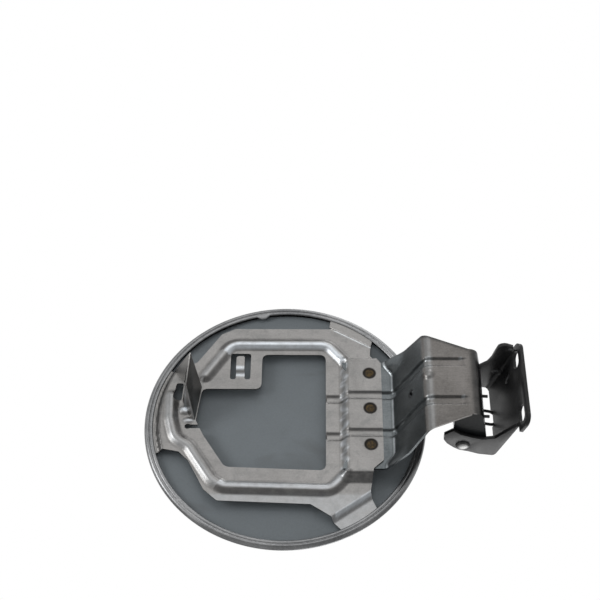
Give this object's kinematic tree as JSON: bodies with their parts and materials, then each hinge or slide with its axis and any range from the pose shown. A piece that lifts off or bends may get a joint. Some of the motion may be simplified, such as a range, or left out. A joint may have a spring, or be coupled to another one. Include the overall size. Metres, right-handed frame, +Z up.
{
  "type": "car fuel door",
  "caption": "Round steel car fuel door with a stamped inner ring, a gooseneck hinge arm and a sprung U-shaped bracket with slotted holes.",
  "frame": {"origin": "middle of the slot pattern on the outer face of the bracket's plate", "axes": "+X from the plate towards the door, +Y into the car, +Z up along the hinge pin"},
  "size_m": [0.1897, 0.1082, 0.16],
  "materials": {
    "skin_steel": "bare brushed sheet, primed inside",
    "galvanised_steel": "galvanised sheet",
    "arm_steel": "dull galvanised sheet",
    "black_paint": "satin black paint",
    "zinc_plate": "bright zinc",
    "spring_steel": "blackened wire"
  },
  "bodies": {
    "bracket": {"hinge_bracket": "black_paint", "hinge_pin": "zinc_plate", "torsion_spring": "spring_steel"},
    "door": {"outer_panel": "skin_steel", "inner_panel": "galvanised_steel", "hinge_arm": "arm_steel"}
  },
  "joints": [
    {"name": "door_hinge", "type": "hinge", "parent": "bracket", "child": "door", "pos_m": [0.023, -0.0315, 0], "axis": [0, 0, -1], "range_deg": [-18, 90]}
  ]
}
